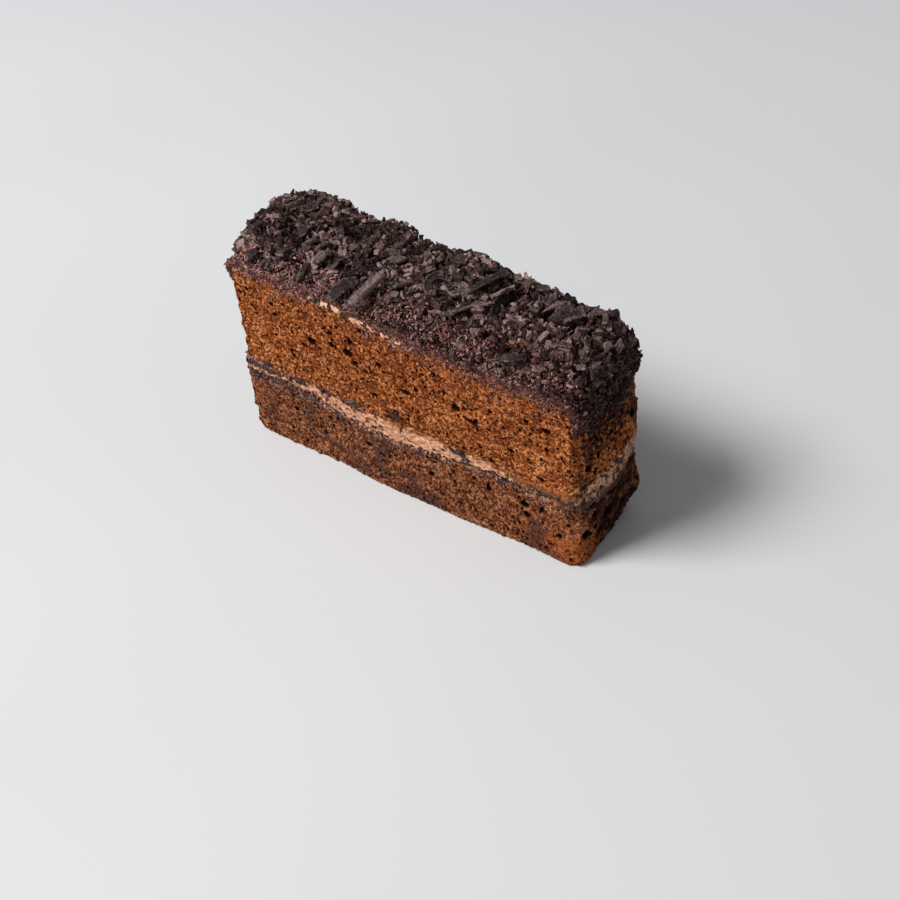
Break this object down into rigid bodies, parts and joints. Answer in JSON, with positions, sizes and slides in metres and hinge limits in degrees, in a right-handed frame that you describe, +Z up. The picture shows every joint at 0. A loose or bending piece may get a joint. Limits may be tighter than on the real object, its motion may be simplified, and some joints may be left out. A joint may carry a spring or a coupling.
{
  "type": "slice of chocolate cake",
  "caption": "Upright slice of chocolate layer cake: dark lower sponge, pale chocolate cream with dark flakes, lighter upper sponge and a rough topping of chocolate crumbs and shavings.",
  "frame": {"origin": "on the surface the slice stands on, at the middle of its base", "axes": "+X along the slice towards its narrow end, +Y towards the leaning cut side, +Z up"},
  "size_m": [0.1113, 0.0375, 0.0632],
  "materials": {
    "dark_sponge": "matte, porous",
    "pale_sponge": "matte, porous",
    "chocolate_cream": "soft satin",
    "chocolate_crumbs": "matte, rough"
  },
  "bodies": {
    "root": {"lower_sponge": "dark_sponge", "cream_filling": "chocolate_cream", "upper_sponge": "pale_sponge", "cream_coat": "chocolate_cream", "topping": "chocolate_crumbs"}
  },
  "joints": []
}
